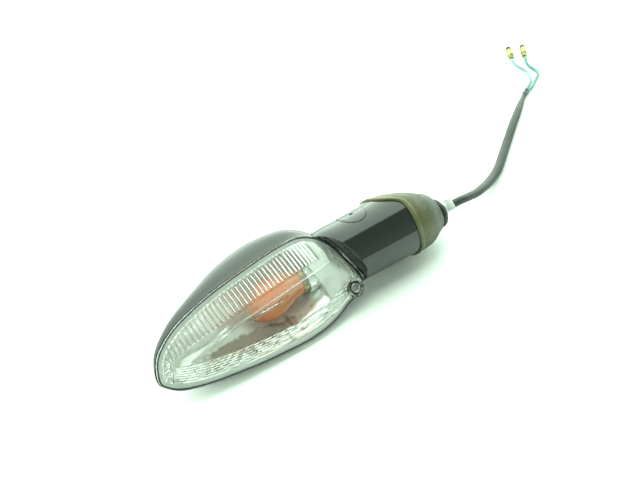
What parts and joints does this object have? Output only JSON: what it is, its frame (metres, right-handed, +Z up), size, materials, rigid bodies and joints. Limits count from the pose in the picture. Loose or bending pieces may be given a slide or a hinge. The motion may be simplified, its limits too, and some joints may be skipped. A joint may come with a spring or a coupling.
{
  "type": "motorcycle turn signal",
  "caption": "Leaf-shaped lamp head with a clear ribbed lens and an orange bulb, on a round stalk with a rubber boot, a threaded hollow stem with a nut, and a two-wire lead.",
  "frame": {"origin": "on the table, under the centre of the lamp's box measured without its lead", "axes": "+X along the stalk's axis, from the lamp head to the mounting stem; +Y away from the side the lens faces; +Z up, with the lamp lying on its housing and boot"},
  "size_m": [0.4242, 0.1534, 0.0438],
  "materials": {
    "gloss_black": "glossy moulded",
    "clear_lens": "clear, ribbed inside",
    "black_rubber": "matt",
    "olive_rubber": "aged, bloomed",
    "reflector_chrome": "vacuum metallised",
    "orange_glass": "tinted, glossy",
    "zinc": "bright zinc plate",
    "spring_steel": "drawn wire",
    "brass": "dull",
    "phenolic": "punched board",
    "sheath_vinyl": "weathered vinyl",
    "blue_insulation": "satin vinyl",
    "green_insulation": "satin vinyl"
  },
  "bodies": {
    "lamp": {"head_housing": "gloss_black", "lens": "clear_lens", "lens_gasket": "black_rubber", "reflector": "reflector_chrome", "bulb_socket": "zinc", "contact_spring": "spring_steel", "arm_screw_1": "zinc", "arm_screw_2": "zinc", "stalk": "gloss_black", "stalk_plug": "gloss_black", "stem_lock_screw": "zinc", "boot": "olive_rubber", "stem": "zinc", "inner_feed_wire": "blue_insulation", "inner_ground_wire": "green_insulation", "cable_sheath": "sheath_vinyl", "wire_feed": "blue_insulation", "wire_ground": "green_insulation", "terminal_feed": "brass", "terminal_ground": "brass"},
    "washers": {"washer_flat": "zinc", "washer_spring": "zinc"},
    "nut": {"mount_nut": "zinc"},
    "seal_ring": {"lens_screw_washer": "black_rubber"},
    "screw": {"lens_screw": "zinc"},
    "contact": {"contact_disc": "phenolic", "contact_pip": "brass"},
    "bulb": {"bulb_glass": "orange_glass", "bulb_base": "brass", "bulb_filament": "spring_steel"}
  },
  "joints": [
    {"name": "nut_travel", "type": "slide", "parent": "lamp", "child": "washers", "axis": [1, 0, 0], "range_m": [0, 0.005]},
    {"name": "nut_spin", "type": "hinge", "parent": "washers", "child": "nut", "pos_m": [0.1002, -0.005, 0.0175], "axis": [1, 0, 0], "range_deg": [0, 1440]},
    {"name": "screw_travel", "type": "slide", "parent": "lamp", "child": "seal_ring", "axis": [0, -0.7466, 0.6652], "range_m": [0, 0.0063]},
    {"name": "screw_spin", "type": "hinge", "parent": "seal_ring", "child": "screw", "pos_m": [0.0152, -0.01975, 0.01383], "axis": [0, -0.7466, 0.6652], "range_deg": [0, 1620]},
    {"name": "contact_press", "type": "slide", "parent": "lamp", "child": "contact", "axis": [1, 0, 0], "range_m": [0, 0.0015], "stiffness_N_per_m": 2000, "springref_m": -0.0015, "deforming": ["contact_spring"]},
    {"name": "bulb_twist", "type": "hinge", "parent": "contact", "child": "bulb", "pos_m": [-0.002, 0.001, 0.0168], "axis": [1, 0, 0], "range_deg": [-20, 0]}
  ],
  "couplings": [
    {"joint": "nut_spin", "follows": "nut_travel", "rad_per_m": 5026.5},
    {"joint": "screw_spin", "follows": "screw_travel", "rad_per_m": 4487.9}
  ]
}
